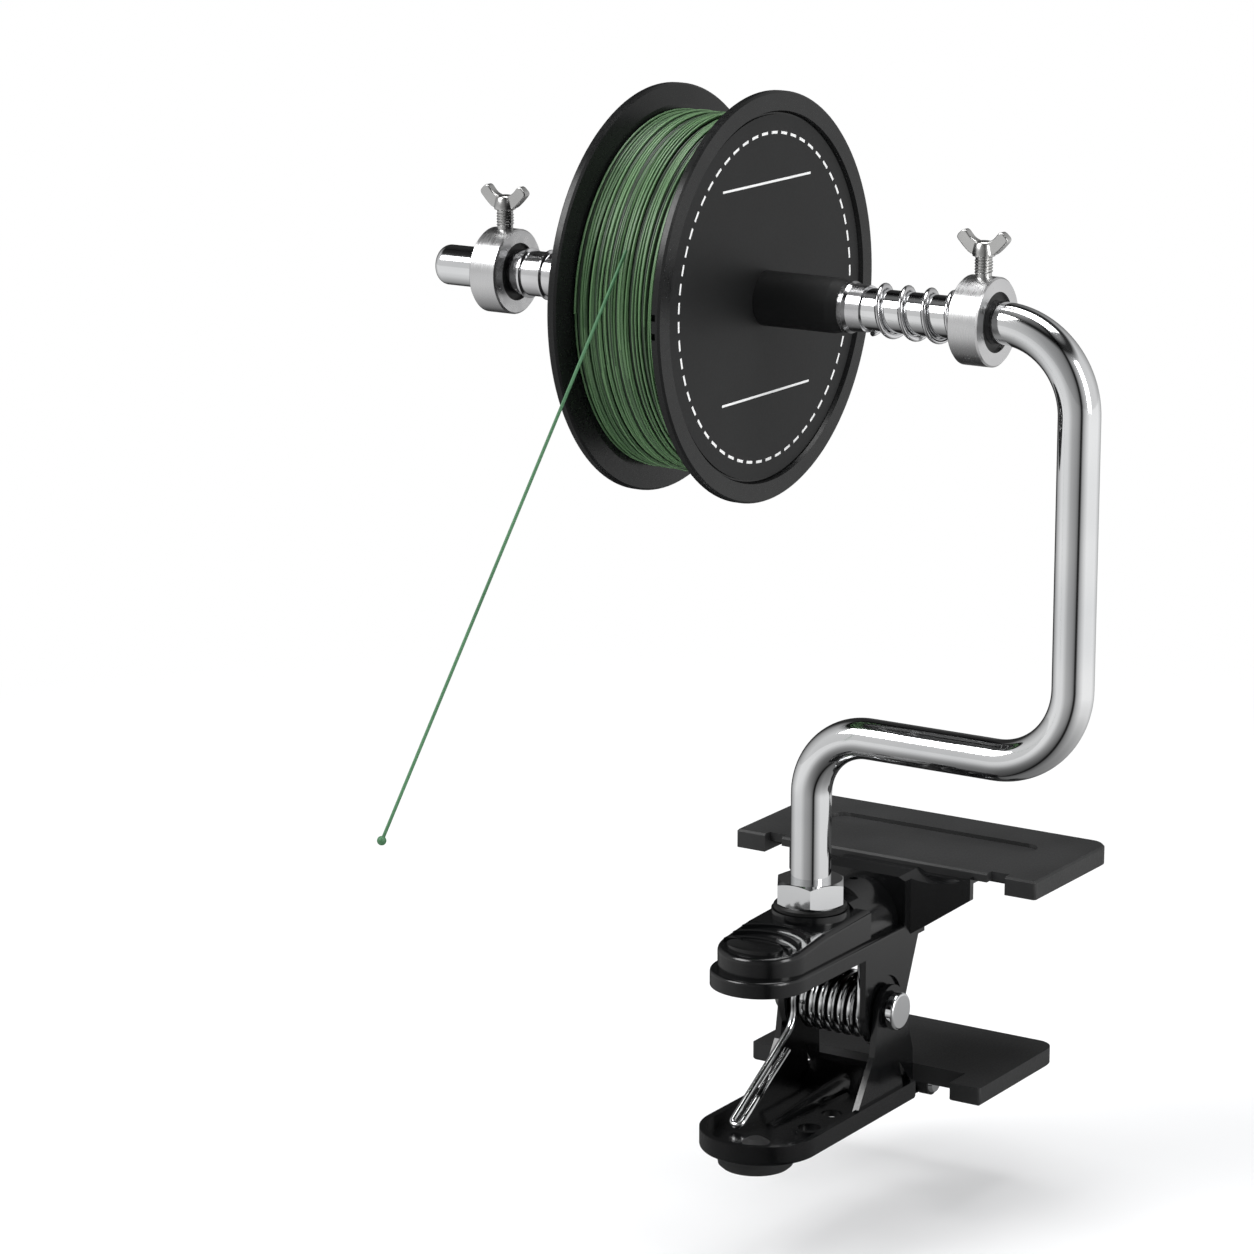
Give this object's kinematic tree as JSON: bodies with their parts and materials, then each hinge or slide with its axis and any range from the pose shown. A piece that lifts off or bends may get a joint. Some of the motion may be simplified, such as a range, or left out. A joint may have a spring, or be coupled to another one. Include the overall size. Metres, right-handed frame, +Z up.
{
  "type": "fishing line winder",
  "caption": "Spring clamp for a table's edge with a bent rod that carries a spool of braided line between set collars, so that the line winds off under light tension.",
  "frame": {"origin": "middle of the upper jaw's clamping face, which lies on the table top", "axes": "+X along the spool's axis towards the rod's bend, +Y from the clamp into the table, +Z up"},
  "size_m": [0.183, 0.1838, 0.2599],
  "materials": {
    "lever_black": "glossy black",
    "pad_black": "satin black",
    "liner_black": "matte black",
    "spool_black": "semi-gloss black",
    "label_black": "satin black print",
    "line_green": "braided, slight sheen",
    "chrome": "polished",
    "steel": "satin",
    "collar_alloy": "turned satin"
  },
  "bodies": {
    "clamp": {"upper_lever": "lever_black", "upper_pad": "pad_black", "pad_screws": "chrome", "pivot_pin": "chrome", "pivot_clip": "chrome", "pivot_bush": "lever_black", "torsion_spring": "chrome", "lock_nut": "chrome"},
    "arm": {"bent_rod": "chrome", "rod_nut": "chrome", "seat_washer": "pad_black", "free_line": "line_green", "line_knot": "line_green"},
    "left_stop": {"left_collar": "collar_alloy", "left_liner": "liner_black", "left_sleeve": "spool_black"},
    "left_wing": {"left_wing_screw": "steel"},
    "right_stop": {"right_collar": "collar_alloy", "right_liner": "liner_black", "tension_spring": "chrome"},
    "right_wing": {"right_wing_screw": "steel"},
    "ferrule": {"right_ferrule": "spool_black"},
    "spool": {"left_flange": "spool_black", "right_flange": "spool_black", "spool_barrel": "spool_black", "label_disc": "label_black", "line_core": "line_green", "line_winding": "line_green", "left_bush": "spool_black", "right_bush": "spool_black"},
    "lower_jaw": {"lower_lever": "lever_black", "foot": "pad_black", "lower_pad_pin": "chrome"},
    "lower_jaw_pad": {"lower_pad": "pad_black"}
  },
  "joints": [
    {"name": "jaw_hinge", "type": "hinge", "parent": "clamp", "child": "lower_jaw", "pos_m": [0, -0.0405, -0.0277], "axis": [1, 0, 0], "range_deg": [-30, 38], "stiffness_Nm_per_rad": 2, "deforming": ["torsion_spring"]},
    {"name": "lower_pad_swivel", "type": "hinge", "parent": "lower_jaw", "child": "lower_jaw_pad", "pos_m": [0, -0.0065, -0.0581], "axis": [1, 0, 0], "range_deg": [-8, 8]},
    {"name": "rod_swivel", "type": "hinge", "parent": "clamp", "child": "arm", "pos_m": [0, -0.056, 0], "axis": [0, 0, 1], "continuous": true},
    {"name": "left_collar_slide", "type": "slide", "parent": "arm", "child": "left_stop", "axis": [1, 0, 0], "range_m": [-0.01, 0]},
    {"name": "left_wing_turn", "type": "hinge", "parent": "left_stop", "child": "left_wing", "pos_m": [-0.0889, -0.056, 0.16], "axis": [0, 0, 1], "continuous": true},
    {"name": "right_collar_slide", "type": "slide", "parent": "arm", "child": "right_stop", "axis": [1, 0, 0], "range_m": [-0.01, 0.0015], "deforming": ["tension_spring"]},
    {"name": "right_wing_turn", "type": "hinge", "parent": "right_stop", "child": "right_wing", "pos_m": [0.0446, -0.056, 0.16], "axis": [0, 0, 1], "continuous": true},
    {"name": "ferrule_slide", "type": "slide", "parent": "arm", "child": "ferrule", "axis": [1, 0, 0], "range_m": [0, 0.008], "stiffness_N_per_m": 300, "deforming": ["tension_spring"]},
    {"name": "spool_spin", "type": "hinge", "parent": "arm", "child": "spool", "pos_m": [-0.0284, -0.056, 0.1495], "axis": [1, 0, 0], "continuous": true}
  ]
}
